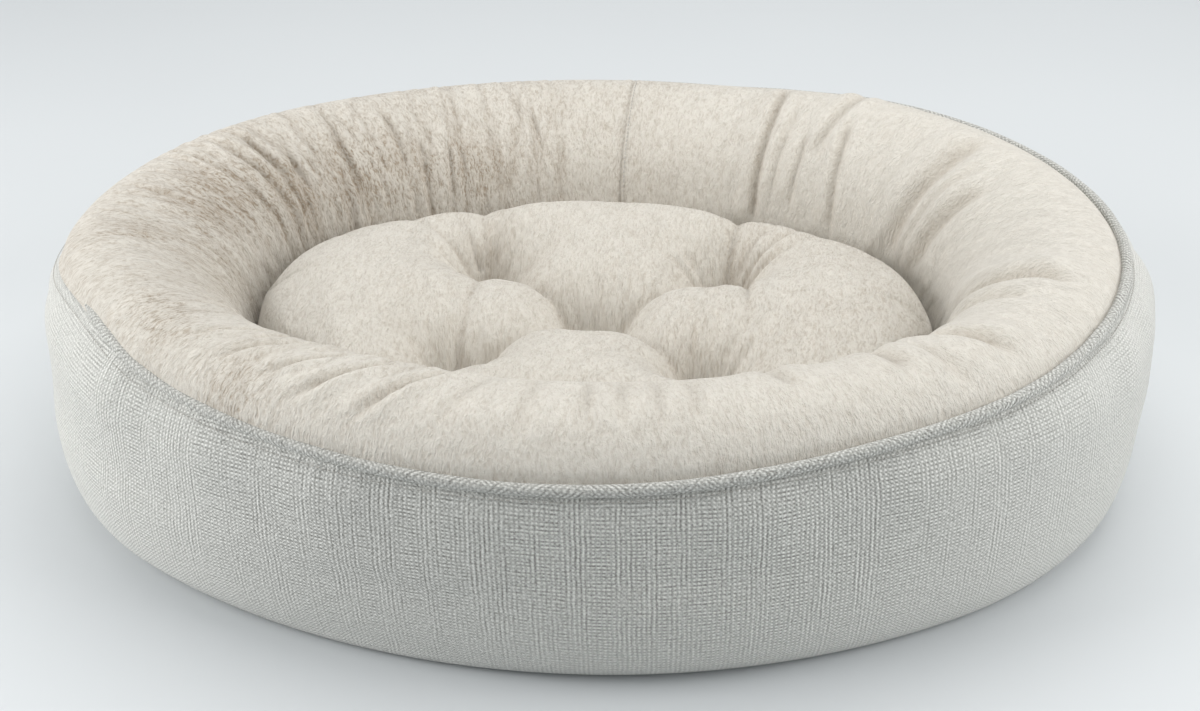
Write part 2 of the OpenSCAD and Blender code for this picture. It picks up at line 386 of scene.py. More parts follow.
def rim_folds(turns, run, per_turn):
    """How far the plush's folds stand off its base form, and how deep in a fold each
    point lies, which the plush paints as shade. Each big fold is a valley with a puffed
    lip on both sides, faded in and out along the plush. The fine wrinkles round the left
    half are seeded, have one lip each, and bow by their own share of one wandering line."""
    lift = np.zeros_like(run)
    valley = np.zeros_like(run)
    bow = wander(run[:, 0] * 60, 5, 5)

    def crease(place, lean, begin, end):
        """Metres across from a crease's line, and how much of it there is."""
        centre = place + lean * np.clip((run - begin) / (end - begin), 0, 1)
        ramp = min(0.03, 0.4 * (end - begin))
        fade = smooth_step(begin, begin + ramp, run) * (1 - smooth_step(end - ramp, end, run))
        return np.radians(apart(turns, centre)) * per_turn, fade

    for place, lean, width, depth, begin, end in RIM_FOLDS:
        x, fade = crease(place, lean, begin, end)
        x = x / width
        lift += depth * fade * (0.8 * swell(x - 1.9, 1.5) + 0.5 * swell(x + 1.8, 1.3) - swell(x, 0.75))
        valley += min(1, depth / 0.006) * fade * swell(x, 0.8)
    chance = np.random.default_rng(21)
    for _ in range(FINE_WRINKLES):
        place = chance.uniform(98, 262)
        begin = chance.uniform(0.0, 0.12)
        reach = chance.uniform(0.08, 0.19)
        lean, sway = chance.normal(0, 2.2), chance.normal(0, 0.0012)
        width, depth = chance.uniform(0.0022, 0.0038), chance.uniform(0.0004, 0.0016)
        depth *= 0.75 if place < 190 else 0.55
        x, fade = crease(place, lean, begin, begin + reach)
        x = (x + sway * bow[:, None]) / width
        near = np.abs(x) < 4
        lift[near] += (depth * fade * (0.6 * swell(x - 1.6, 1.2) - swell(x, 0.8)))[near]
        valley[near] += (0.6 * (depth / 0.0016) * fade * swell(x, 0.8))[near]
    return lift, np.clip(valley, 0, 1)


def shade_and_mottle(turns, run, per_turn):
    """How much darker, browner and more flecked the pile is: a slow wash on the left, which
    is painted shade, a wash at the front, and a spot at each listed place."""
    shade = 0.5 * smooth_step(-0.2, 0.75, -np.cos(turns + 0.5)) + 0.22 * beside(turns, 268, 40) + 0 * run
    for place, along, radius in MOTTLED_PLACES:
        across = np.radians(apart(turns, place)) * per_turn
        shade += 0.75 * swell(np.hypot(across, run - along), radius)
    return np.clip(shade, 0, 1.2)


class BedSizes(bpy.types.PropertyGroup):
    """Sizes of the bolster, the cushion and their cloth."""

    crest_inset: bpy.props.FloatProperty(
        name="Crest Inset", description="How far the crest is set in from the widest bulge",
        default=0.074, min=0.05, max=0.1, unit="LENGTH",
    )
    foot_inset: bpy.props.FloatProperty(
        name="Foot Inset", description="How far the wall's foot is set in from the widest bulge",
        default=0.036, min=0.02, max=0.08, unit="LENGTH",
    )
    belly_height: bpy.props.FloatProperty(
        name="Belly Height", description="Height of the wall's widest bulge",
        default=0.135, min=0.09, max=0.16, unit="LENGTH",
    )
    waist_inset: bpy.props.FloatProperty(
        name="Waist Inset", description="How far the inner wall's bulge is set in from the widest bulge",
        default=0.166, min=0.14, max=0.2, unit="LENGTH",
    )
    waist_height: bpy.props.FloatProperty(
        name="Waist Height", description="Height of the inner wall's deepest bulge",
        default=0.088, min=0.07, max=0.11, unit="LENGTH",
    )
    inner_foot_inset: bpy.props.FloatProperty(
        name="Inner Foot Inset", description="How far the inner wall's foot is set in from the widest bulge",
        default=0.146, min=0.12, max=0.17, unit="LENGTH",
    )
    tuck_power: bpy.props.FloatProperty(
        name="Tuck Power", description="Squareness of the wall's tuck under: 2 is an ellipse",
        default=2.6, min=1.8, max=4,
    )
    piping_degrees: bpy.props.FloatProperty(
        name="Piping Place", description="Angle up the rim at which the piping is sewn, in degrees",
        default=41, min=30, max=60,
    )
    piping_radius: bpy.props.FloatProperty(
        name="Piping Radius", description="Radius of the piping over its cover",
        default=0.0045, min=0.003, max=0.008, unit="LENGTH",
    )
    cushion_crown: bpy.props.FloatProperty(
        name="Cushion Crown", description="How far the cushion's lobes puff above its flat top",
        default=0.013, min=0, max=0.04, unit="LENGTH",
    )
    cushion_rounding: bpy.props.FloatProperty(
        name="Cushion Rounding", description="How far the top's round edge reaches in from the seam",
        default=0.029, min=0.02, max=0.07, unit="LENGTH",
    )
    tuft_depth: bpy.props.FloatProperty(
        name="Tuft Depth", description="Depth of the tufts below the cushion's flat top",
        default=0.044, min=0.01, max=0.06, unit="LENGTH",
    )


class BedColours(bpy.types.PropertyGroup):
    """Colours of the cloth, the thread and the stage."""

    plush: bpy.props.FloatVectorProperty(
        name="Plush", description="Colour of the pile's tips", subtype="COLOR", size=3,
        default=(0.71, 0.676, 0.61), min=0, max=1,
    )
    # Plush Shade is the colour that the painted shade in the folds and the darker pile lean to.
    plush_shade: bpy.props.FloatVectorProperty(
        name="Plush Shade", description="Colour deep in the pile and in its folds", subtype="COLOR", size=3,
        default=(0.36, 0.295, 0.225), min=0, max=1,
    )
    linen_light: bpy.props.FloatVectorProperty(
        name="Linen Light", description="Colour of the weave's light threads", subtype="COLOR", size=3,
        default=(0.83, 0.83, 0.79), min=0, max=1,
    )
    linen_dark: bpy.props.FloatVectorProperty(
        name="Linen Dark", description="Colour of the weave's dark threads", subtype="COLOR", size=3,
        default=(0.26, 0.256, 0.235), min=0, max=1,
    )
    plain_cloth: bpy.props.FloatVectorProperty(
        name="Plain Cloth", description="Colour of the lining and underside cloth", subtype="COLOR", size=3,
        default=(0.52, 0.50, 0.46), min=0, max=1,
    )
    thread: bpy.props.FloatVectorProperty(
        name="Thread", description="Colour of the sewing thread", subtype="COLOR", size=3,
        default=(0.55, 0.53, 0.49), min=0, max=1,
    )
    floor: bpy.props.FloatVectorProperty(
        name="Floor", description="Colour of the floor and the backdrop", subtype="COLOR", size=3,
        default=(0.66, 0.685, 0.70), min=0, max=1,
    )


def bed_sizes():
    """The sizes that the panel shows."""
    return bpy.context.scene.bed_sizes


def bed_colours():
    """The colours that the panel shows."""
    return bpy.context.scene.bed_colours


# ---------------------------------------------------------------- materials


def put(tree, kind, inputs=None, **settings):
    """Adds a node of a kind, sets its properties, and fills its inputs with values or
    links them to output sockets."""
    made = tree.nodes.new(kind)
    for name, value in settings.items():
        setattr(made, name, value)
    for name, value in (inputs or {}).items():
        if isinstance(value, bpy.types.NodeSocket):
            tree.links.new(value, made.inputs[name])
        else:
            made.inputs[name].default_value = value
    return made


def math_of(tree, operation, first, second=0.0):
    """The output of a Math node."""
    return put(tree, "ShaderNodeMath", {0: first, 1: second}, operation=operation).outputs[0]


def stretched(tree, vector, across, along, detail=2.0, roughness=0.5):
    """Noise whose cells are 1/across by 1/along metres on the cloth."""
    mapped = put(tree, "ShaderNodeMapping", {"Vector": vector, "Scale": (across, along, across)})
    noise = put(tree, "ShaderNodeTexNoise", {
        "Vector": mapped.outputs[0], "Scale": 1.0, "Detail": detail, "Roughness": roughness,
    })
    return noise.outputs["Fac"]


def levels(tree, value, low, high, out_low=0.0, out_high=1.0):
    """Maps a value from one range to another, clamped."""
    return put(tree, "ShaderNodeMapRange", {
        "Value": value, "From Min": low, "From Max": high, "To Min": out_low, "To Max": out_high,
    }).outputs["Result"]


def mixed(tree, amount, first, second):
    """A colour between two colours."""
    made = put(tree, "ShaderNodeMix", {"Factor": amount}, data_type="RGBA")
    for socket, colour in zip((made.inputs[6], made.inputs[7]), (first, second)):
        if isinstance(colour, bpy.types.NodeSocket):
            tree.links.new(colour, socket)
        else:
            socket.default_value = colour
    return made.outputs[2]


def solid(colour):
    """A colour that lets nothing through."""
    return (*colour, 1.0)


def pushed_about(tree, vector, scale, detail, reach):
    """A vector moved about by noise, by up to half of reach each way."""
    push = put(tree, "ShaderNodeTexNoise", {"Vector": vector, "Scale": scale, "Detail": detail})
    middle = {0: push.outputs["Color"], 1: (0.5, 0.5, 0.5)}
    centred = put(tree, "ShaderNodeVectorMath", middle, operation="SUBTRACT")
    pushed = put(tree, "ShaderNodeVectorMath", {0: centred.outputs[0]}, operation="SCALE")
    pushed.inputs["Scale"].default_value = reach
    both = {0: vector, 1: pushed.outputs[0]}
    return put(tree, "ShaderNodeVectorMath", both, operation="ADD").outputs[0]


def new_group(name, inputs, outputs):
    """A shader node group with float, vector and colour sockets."""
    kinds = {"f": "NodeSocketFloat", "v": "NodeSocketVector", "c": "NodeSocketColor"}
    tree = bpy.data.node_groups.new(name, "ShaderNodeTree")
    for label, kind in inputs:
        tree.interface.new_socket(label, in_out="INPUT", socket_type=kinds[kind])
    for label, kind in outputs:
        tree.interface.new_socket(label, in_out="OUTPUT", socket_type=kinds[kind])
    return tree, tree.nodes.new("NodeGroupInput").outputs, tree.nodes.new("NodeGroupOutput").inputs


def weave_group():
    """A slubby plain weave in cloth metres: Light is each thread's brightness and
    Height its relief. Sines across and along the cloth are the warp and the weft, and
    their product is the over and under. Noise drawn out along each yarn makes it uneven,
    slower noise makes stripes where the warp stands out, and fine grain roughens both."""
    if "slubby_weave" in bpy.data.node_groups:
        return bpy.data.node_groups["slubby_weave"]
    tree, into, out = new_group(
        "slubby_weave", [("Vector", "v"), ("Threads", "f"), ("Slub", "f")], [("Light", "f"), ("Height", "f")]
    )
    vector = pushed_about(tree, into["Vector"], 60.0, 2.0, 0.0022)
    parts = put(tree, "ShaderNodeSeparateXYZ", {0: vector}).outputs
    turn = math_of(tree, "MULTIPLY", into["Threads"], 2 * math.pi)
    across = math_of(tree, "SINE", math_of(tree, "MULTIPLY", parts[0], turn))
    along = math_of(tree, "SINE", math_of(tree, "MULTIPLY", parts[1], math_of(tree, "MULTIPLY", turn, 1.15)))
    crossed = math_of(tree, "MULTIPLY", across, along)
    stripe = levels(tree, stretched(tree, vector, 60, 3, 1.0, 0.5), 0.38, 0.62, 0.3, 0.9)
    warp = levels(tree, stretched(tree, vector, 230, 26, 3.0, 0.7), 0.36, 0.64, 0.1, 1.0)
    weft = levels(tree, stretched(tree, vector, 30, 250, 3.0, 0.7), 0.36, 0.64, 0.1, 1.0)
    warp = math_of(tree, "MULTIPLY", math_of(tree, "MULTIPLY", across, warp), stripe)
    other = math_of(tree, "SUBTRACT", 1.15, stripe)
    weft = math_of(tree, "MULTIPLY", math_of(tree, "MULTIPLY", along, weft), other)
    yarn = math_of(tree, "MULTIPLY", math_of(tree, "ADD", warp, weft), 0.56)
    grain = levels(tree, stretched(tree, vector, 420, 420, 3.0, 0.7), 0.3, 0.7, -1.0, 1.0)
    speck = math_of(tree, "MULTIPLY", grain, math_of(tree, "MULTIPLY", into["Slub"], 0.36))
    over = math_of(tree, "MULTIPLY", crossed, 0.16)
    both = math_of(tree, "ADD", over, math_of(tree, "ADD", yarn, speck))
    tree.links.new(math_of(tree, "ADD", both, 0.5), out["Light"])
    tree.links.new(math_of(tree, "ADD", both, math_of(tree, "MULTIPLY", crossed, 0.5)), out["Height"])
    return tree


def pile_group():
    """A short brushed pile in cloth metres: Fleck is the dark between clumps, Mottle
    the slow change of shade and Height the relief. Fine noise drawn out along the nap
    makes the strands, and coarser noise, drawn out as much, makes the clumps."""
    if "brushed_pile" in bpy.data.node_groups:
        return bpy.data.node_groups["brushed_pile"]
    tree, into, out = new_group(
        "brushed_pile", [("Vector", "v")], [("Fleck", "f"), ("Mottle", "f"), ("Height", "f")]
    )
    vector = pushed_about(tree, into["Vector"], 55.0, 3.0, 0.007)
    strands = stretched(tree, vector, 600, 170, 3.0, 0.7)
    clumps = stretched(tree, vector, 210, 60, 4.0, 0.62)
    slow = stretched(tree, vector, 16, 10, 4.0, 0.6)
    strand_part = math_of(tree, "MULTIPLY", strands, 0.68)
    clump_part = math_of(tree, "MULTIPLY", clumps, 0.32)
    both = math_of(tree, "ADD", strand_part, clump_part)
    tree.links.new(levels(tree, both, 0.54, 0.36), out["Fleck"])
    tree.links.new(levels(tree, slow, 0.42, 0.66), out["Mottle"])
    tree.links.new(both, out["Height"])
    return tree


def grouped(tree, group, inputs):
    """Places a node group and returns its outputs."""
    made = tree.nodes.new("ShaderNodeGroup")
    made.node_tree = group
    for name, value in inputs.items():
        if isinstance(value, bpy.types.NodeSocket):
            tree.links.new(value, made.inputs[name])
        else:
            made.inputs[name].default_value = value
    return made.outputs


def new_material(name):
    """A material with an empty tree and one Principled shader."""
    made = bpy.data.materials.new(name)
    made.use_nodes = True
    tree = made.node_tree
    tree.nodes.clear()
    shader = put(tree, "ShaderNodeBsdfPrincipled")
    out = put(tree, "ShaderNodeOutputMaterial", {"Surface": shader.outputs[0]})
    out.is_active_output = True
    return made, tree, shader


def bumped(tree, shader, height, strength, distance):
    """Gives a shader relief from a height."""
    bump = put(tree, "ShaderNodeBump", {"Height": height, "Strength": strength, "Distance": distance})
    tree.links.new(bump.outputs[0], shader.inputs["Normal"])


def cloth_uv(tree):
    """The piece's own UV, which runs in metres on the cloth."""
    return put(tree, "ShaderNodeUVMap", None, uv_map="cloth").outputs[0]


def linen(name="woven_linen", bias=0.0, tone=1.0):
    """Slubby grey weave; bias turns its threads, as on the piping's strip, and tone darkens
    it as a painted shade. A soft attribute blends it towards an even lighter colour, a
    painted light."""
    made, tree, shader = new_material(name)
    colours = bed_colours()
    vector = put(tree, "ShaderNodeMapping", {"Vector": cloth_uv(tree), "Rotation": (0, 0, bias)}).outputs[0]
    weave = grouped(tree, weave_group(), {"Vector": vector, "Threads": 290.0, "Slub": 1.0})
    bright = tuple(tone * light for light in colours.linen_light)
    base = mixed(tree, weave["Light"], solid(colours.linen_dark), solid(bright))
    # Painted light: the soft attribute blends the weave towards an even lighter colour, brighter and
    # flatter.
    soft = put(tree, "ShaderNodeAttribute", None, attribute_name="soft").outputs["Fac"]
    even = tuple(0.8 * light for light in colours.linen_light)
    base = mixed(tree, math_of(tree, "MULTIPLY", soft, 0.55), base, solid(even))
    tree.links.new(base, shader.inputs["Base Color"])
    shader.inputs["Roughness"].default_value = 0.9
    shader.inputs["Specular IOR Level"].default_value = 0.2
    shader.inputs["Sheen Weight"].default_value = 0.15
    bumped(tree, shader, weave["Height"], 0.6, 0.0008)
    return made


def plush():
    """Cream brushed pile, with painted shade in its folds, and browner and more flecked where the shade
    attribute is high.
    """
    made, tree, shader = new_material("brushed_plush")
    colours = bed_colours()
    pile = grouped(tree, pile_group(), {"Vector": cloth_uv(tree)})
    fold = put(tree, "ShaderNodeAttribute", None, attribute_name="fold").outputs["Fac"]
    shade = put(tree, "ShaderNodeAttribute", None, attribute_name="shade").outputs["Fac"]
    fleck = math_of(tree, "MULTIPLY", pile["Fleck"], levels(tree, shade, 0, 1, 0.24, 0.95))
    wash = math_of(tree, "MULTIPLY", pile["Mottle"], levels(tree, shade, 0, 1, 0.02, 0.2))
    # Painted shade: the fold attribute darkens the pile in its folds, creases and tuft pits, and the shade
    # attribute darkens it as well.
    tint = math_of(tree, "ADD", math_of(tree, "MULTIPLY", shade, 0.13), math_of(tree, "MULTIPLY", fold, 0.3))
    deep = levels(tree, math_of(tree, "ADD", math_of(tree, "ADD", fleck, wash), tint), 0, 1)
    base = mixed(tree, deep, solid(colours.plush), solid(colours.plush_shade))
    tree.links.new(base, shader.inputs["Base Color"])
    shader.inputs["Roughness"].default_value = 0.95
    shader.inputs["Specular IOR Level"].default_value = 0.1
    shader.inputs["Sheen Weight"].default_value = 0.25
    shader.inputs["Sheen Roughness"].default_value = 0.5
    bumped(tree, shader, pile["Height"], 1.0, 0.0035)
    return made


def plain_cloth():
    """Plain lining cloth with a fine even weave."""
    made, tree, shader = new_material("plain_cloth")
    colours = bed_colours()
    weave = grouped(tree, weave_group(), {"Vector": cloth_uv(tree), "Threads": 900.0, "Slub": 0.5})
    tint = tuple(0.8 * c for c in colours.plain_cloth)
    base = mixed(tree, weave["Light"], solid(tint), solid(colours.plain_cloth))
    tree.links.new(base, shader.inputs["Base Color"])
    shader.inputs["Roughness"].default_value = 0.85
    bumped(tree, shader, weave["Height"], 0.4, 0.0003)
    return made


def simple_finish(name, colour, scale, spread, roughness, relief):
    """A finish whose colour, roughness and relief vary with noise in the piece's own
    space."""
    made, tree, shader = new_material(name)
    place = put(tree, "ShaderNodeTexCoord").outputs["Object"]
    noise = put(tree, "ShaderNodeTexNoise", {"Vector": place, "Scale": scale, "Detail": 3.0}).outputs["Fac"]
    dark = tuple(c * (1 - spread) for c in colour)
    tree.links.new(mixed(tree, noise, solid(dark), solid(colour)), shader.inputs["Base Color"])
    tree.links.new(levels(tree, noise, 0.2, 0.8, roughness - 0.08, roughness), shader.inputs["Roughness"])
    bumped(tree, shader, noise, 0.6, relief)
    return made


def thread_finish():
    """Sewing thread."""
    return simple_finish("sewing_thread", tuple(bed_colours().thread), 900, 0.3, 0.8, 0.0003)


def fibre_finish():
    """White stuffing fibre."""
    return simple_finish("loose_fibre", (0.9, 0.89, 0.86), 300, 0.1, 0.9, 0.0005)


def button_finish():
    """Horn buttons."""
    return simple_finish("horn_button", (0.6, 0.55, 0.45), 120, 0.2, 0.45, 0.0001)


def finish_with(piece, material, slot, body, *nodes):
    """Gives a piece its material and its body, and hides the nodes it stands for. Its slot is not used."""
    piece.data.materials.append(material)
    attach(piece, body)
    if nodes:
        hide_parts(*nodes)
    return piece


def material_of(name, maker, *arguments):
    """The material of that name, made the first time that it is asked for."""
    return bpy.data.materials.get(name) or maker(*arguments)


# ---------------------------------------------------------------- pieces


class BED_OT_wall(bpy.types.Operator):
    """Makes the woven outer wall, from its foot to the piping"""

    bl_idname = "bed.wall"
    bl_label = "Wall"

    def execute(self, context):
        sizes = bed_sizes()
        turns, around = even_turns(WALL_COLUMNS, 0)
        end = piping_degrees(turns, sizes)
        tuck = np.linspace(0, 90, 44, endpoint=False)[:, None] + 0 * end
        rim = end * np.linspace(0, 1, 20)[:, None]
        parts = [section("tuck", tuck, sizes), section("rim", rim, sizes)]
        inset = np.concatenate([p[0] for p in parts])
        height = np.concatenate([p[1] for p in parts])
        waver = 0.006 * wander(turns, 8, 9, 2)
        waver = waver * smooth_step(0, 0.02, height) * smooth_step(0.10, 0.07, height)
        points = plan_points(turns, inset + waver, height, sizes)
        run = np.concatenate([
            np.zeros((1, len(turns))),
            np.cumsum(np.linalg.norm(np.diff(points, axis=0), axis=-1), 0),
        ])
        from_top = run[-1] - run
        pucker_spacing = 0.016
        pucker = 0.0006 * np.sin(turns * around / pucker_spacing + 3 * wander(turns, 3, 20, 9))
        join_dip = 0.0015 * swell(np.radians(apart(turns, BACK)), 0.006)
        slack = 0.0022 * wander(turns, 12, 30, 6) * swell(from_top - 0.03, 0.035)
        lift = pucker * np.exp(-from_top / 0.012) + slack - join_dip
        points += normals_of(points) * lift[..., None]
        wall = ring_mesh("wall_cloth", points, around, run)
        # Painted light: the wall is lightened at the oval's two ends and near its foot, where more light
        # falls.
        painted_light = np.abs(np.cos(turns)) ** 2 + 0.8 * swell(height, 0.03) + 0.4 * swell(height - 0.03, 0.05)
        paint(wall, "soft", np.clip(painted_light, 0, 1.3))
        finish_with(wall, material_of("woven_linen", linen), "linen", "bolster", "wall_panel")
        return {"FINISHED"}


class BED_OT_rim(bpy.types.Operator):
    """Makes the plush cover of the rim and the inner wall"""

    bl_idname = "bed.rim"
    bl_label = "Rim Plush"

    def execute(self, context):
        sizes = bed_sizes()
        turns, _ = even_turns(RIM_COLUMNS, RIM_EVEN_INSET)
        inset, height, run = rim_rows(turns, sizes, 5)
        coarse = plan_points(turns, inset, height, sizes)
        pinned = np.zeros(run.shape, bool)
        pinned[[0, 1, -1]] = True
        slack = np.clip(smooth_step(-0.5, 0.6, -np.cos(turns + 0.5)), 0.2, 1) + 0 * run
        faces = grid_faces(*run.shape, True)
        moved = settle(coarse.reshape(-1, 3), faces, pinned.ravel(), slack.ravel(), RIM_LIMIT)
        turns, _ = even_turns(RIM_FINER * RIM_COLUMNS, RIM_EVEN_INSET)
        inset, height, run, moved = (
            finer(finer(a, 2, 0), RIM_FINER, 1, True)
            for a in (inset, height, run, moved.reshape(coarse.shape))
        )
        points = plan_points(turns, inset, height, sizes) + moved
        reach = np.linalg.norm(np.roll(points, -1, 1) - points, axis=-1)
        per_turn = reach / np.abs(((np.roll(turns, -1) - turns) + np.pi) % (2 * np.pi) - np.pi)
        lift, valley = rim_folds(turns, run, per_turn)
        hidden = tucked(turns)
        soft = smooth_step(0, 0.012, run)
        roll = (1 - np.exp(-run / 0.008)) * (1 - smooth_step(0.03, 0.09, run))
        lift += 0.005 * roll * (1 + 0.7 * hidden)
        points += normals_of(points) * (lift * soft + 0.0018 * hidden * (1 - soft))[..., None]
        rim = ring_mesh("rim_plush", points, float(reach.sum(1).mean()), run)
        # Painted shade: the fold values darken the plush in its folds.
        paint(rim, "fold", valley)
        # The shade values are painted shade on the rim's left, with browner mottle at the front and at the
        # listed spots.
        paint(rim, "shade", shade_and_mottle(turns, run, per_turn))
        pile = material_of("brushed_plush", plush)
        finish_with(rim, pile, "plush", "bolster", "bolster_plush", "bolster_fill")
        return {"FINISHED"}


def piping_path(turns, sizes):
    """The piping's centre line and the outward direction there."""
    degrees = piping_degrees(turns, sizes)
    inset, height = section("rim", degrees, sizes)
    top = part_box("bolster_plush")[1][2]
    a = np.radians(degrees)
    out = np.stack([np.cos(a) / sizes.crest_inset, np.sin(a) / (top - sizes.belly_height)])
    out /= np.linalg.norm(out, axis=0)
    rise = sizes.piping_radius * (0.6 - 1.8 * tucked(turns))
    centre = plan_points(turns, inset - rise * out[0], height + rise * out[1], sizes)
    normal = np.stack([out[0] * np.cos(turns), out[0] * np.sin(turns), out[1]], -1)
    return centre, normal


def tube(name, centre, normal, radius, sides):
    """A closed tube along a closed path: circles across the path's direction. Its UV
    runs in metres along and around it."""
    ahead = np.roll(centre, -1, 0) - np.roll(centre, 1, 0)
    ahead /= np.linalg.norm(ahead, axis=1, keepdims=True)
    side = np.cross(normal, ahead)
    a = np.linspace(0, 2 * np.pi, sides + 1)[:, None, None]
    points = centre + radius * (np.cos(a) * normal + np.sin(a) * side)
    around = float(np.linalg.norm(np.roll(centre, -1, 0) - centre, axis=1).sum())
    rows, columns = sides + 1, len(centre)
    faces = grid_faces(rows, columns, True) % (sides * columns)
    u = np.linspace(0, around, columns + 1)
    r, c = np.meshgrid(np.arange(sides), np.arange(columns), indexing="ij")
    v = np.linspace(0, 2 * np.pi * np.max(radius), sides + 1)
    uv = np.stack([u[np.stack([c, c + 1, c + 1, c], -1)], v[np.stack([r, r, r + 1, r + 1], -1)]], -1)
    return new_mesh(name, points[:-1].reshape(-1, 3), faces, uv)


class BED_OT_piping(bpy.types.Operator):
    """Makes the piping: its bias strip and the cord inside"""

    bl_idname = "bed.piping"
    bl_label = "Piping"

    def execute(self, context):
        sizes = bed_sizes()
        turns, _ = even_turns(WALL_COLUMNS, 0.02)
        centre, normal = piping_path(turns, sizes)
        radius = sizes.piping_radius * (1 + 0.05 * wander(turns, 6, 40, 12))[:, None]
        cover = tube("piping_strip", centre, normal, radius, 16)
        # Painted shade: the piping's linen is a darker copy of the wall's, at a tone of 0.88.
        strip = material_of("bias_linen", linen, "bias_linen", math.radians(45), 0.88)
        finish_with(cover, strip, "linen", "bolster", "piping_cover")
        core = tube("piping_core", centre[::3], normal[::3], 0.7 * sizes.piping_radius, 8)
        finish_with(core, material_of("loose_fibre", fibre_finish), "fibre", "bolster", "piping_cord")
        return {"FINISHED"}


def stitches(name, path, normal, closed):
    """A row of short stitches along a path: each a bead with five sides, laid along the
    path's direction and tapered to a point at both ends."""
    ends = np.concatenate([path, path[:1]]) if closed else path
    lean = np.concatenate([normal, normal[:1]]) if closed else normal
    run = np.concatenate([[0], np.cumsum(np.linalg.norm(np.diff(ends, axis=0), axis=1))])
    count = int(run[-1] / STITCH_SPACING)
    at = (np.arange(count) + 0.5) * run[-1] / count

    def along(values, place):
        """Values between the path's points, at lengths along it."""
        return np.stack([np.interp(place, run, values[:, k]) for k in range(3)], -1)

    start, stop = along(ends, at - STITCH_LENGTH / 2), along(ends, at + STITCH_LENGTH / 2)
    up = along(lean, at)
    ahead = (stop - start) / np.linalg.norm(stop - start, axis=1, keepdims=True)
    side = np.cross(ahead, up)
    turn = np.arange(5) * 2 * np.pi / 5
    turn = turn[:, None, None]
    ring = STITCH_RADIUS * (np.cos(turn) * up + np.sin(turn) * side)
    rise = 0.6 * STITCH_RADIUS * up
    near, far = 0.8 * start + 0.2 * stop + rise, 0.2 * start + 0.8 * stop + rise
    tips = [(start - rise)[None], (stop - rise)[None]]
    points = np.concatenate([near + ring, far + ring, *tips]).swapaxes(0, 1)
    k = np.arange(5)
    n = (k + 1) % 5
    bead = np.concatenate([
        np.stack([k, n, n + 5], -1), np.stack([k, n + 5, k + 5], -1),
        np.stack([n, k, 0 * k + 10], -1), np.stack([k + 5, n + 5, 0 * k + 11], -1),
    ])
    faces = (bead[None] + 12 * np.arange(count)[:, None, None]).reshape(-1, 3)
    return new_mesh(name, points.reshape(-1, 3), faces)


def sew(name, path, normal, closed, body, node):
    """Makes a stitch row, gives it thread, and lets it stand for a thread node."""
    row = stitches(name, path, normal, closed)
    return finish_with(row, material_of("sewing_thread", thread_finish), "thread", body, node)


class BED_OT_stitching(bpy.types.Operator):
    """Makes the rows of machine stitches of the bolster and the cushion"""

    bl_idname = "bed.stitching"
    bl_label = "Stitching"

    def execute(self, context):
        sizes = bed_sizes()
        turns, _ = even_turns(WALL_COLUMNS, 0)
        flat = np.stack([np.cos(turns), np.sin(turns), 0 * turns], -1)
        degrees = piping_degrees(turns, sizes) - 6 - 4 * tucked(turns)
        inset, height = section("rim", degrees, sizes)
        path = plan_points(turns, inset - 0.0014, height + 0.0008, sizes)
        sew("piping_stitches", path, flat, True, "bolster", "piping_thread")
        for name, node, body in (
            ("base_stitches", "base_thread", "bolster"),
            ("lining_stitches", "floor_thread", "bolster"),
            ("cushion_edge_stitches", "cushion_edge_thread", "cushion"),
        ):
            low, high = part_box(node)
            middle = half_sizes()[0] - high[0] + 0.5 * (high[2] - low[2])
            x, y = oval(turns, middle)
            path = np.stack([x, y, np.full_like(x, 0.5 * (low[2] + high[2]))], -1)
            sew(name, path, flat, True, body, node)
        self.join("wall_join_stitches", "wall_cloth", WALL_COLUMNS, (0.02, 0.98), "wall_join_thread")
        rim_columns = RIM_FINER * RIM_COLUMNS
        self.join("plush_join_stitches", "rim_plush", rim_columns, (0.24, 0.80), "plush_join_thread")
        return {"FINISHED"}

    def join(self, name, cover, columns, reach, node):
        """Stitches down a cover's own join, its first column, in the middle of the back.
        They go from one share of its rows to another."""
        mesh = bpy.data.objects[cover].data
        points = np.empty(len(mesh.vertices) * 3, np.float32)
        mesh.vertices.foreach_get("co", points)
        normals = np.empty(len(mesh.vertices) * 3, np.float32)
        mesh.vertices.foreach_get("normal", normals)
        path = points.reshape(-1, columns, 3)[:, 0]
        normal = normals.reshape(-1, columns, 3)[:, 0]
        first, last = int(reach[0] * len(path)), int(reach[1] * len(path))
        path = path + 0.0006 * normal
        sew(name, path[first:last], normal[first:last], False, "bolster", node)


def disc_grid(count):
    """A square grid bent to a round disc: x times the root of one less half y squared,
    and the same for y. Returns the disc radius and the direction of each point."""
    side = np.linspace(-1, 1, count)
    x, y = np.meshgrid(side, side)
    dx, dy = x * np.sqrt(1 - y * y / 2), y * np.sqrt(1 - x * x / 2)
    return np.hypot(dx, dy), np.arctan2(dy, dx)


def sheet_disc(name, inset, level, count):
    """A flat cloth disc of the oval at an inset and a height."""
    reach, turn = disc_grid(count)
    x, y = oval(turn, inset)
    points = np.stack([x * reach, y * reach, np.broadcast_to(level, x.shape)], -1)
    faces = grid_faces(count, count, False)
    uv = points.reshape(-1, 3)[faces.ravel(), :2]
    return new_mesh(name, points.reshape(-1, 3), faces, uv)


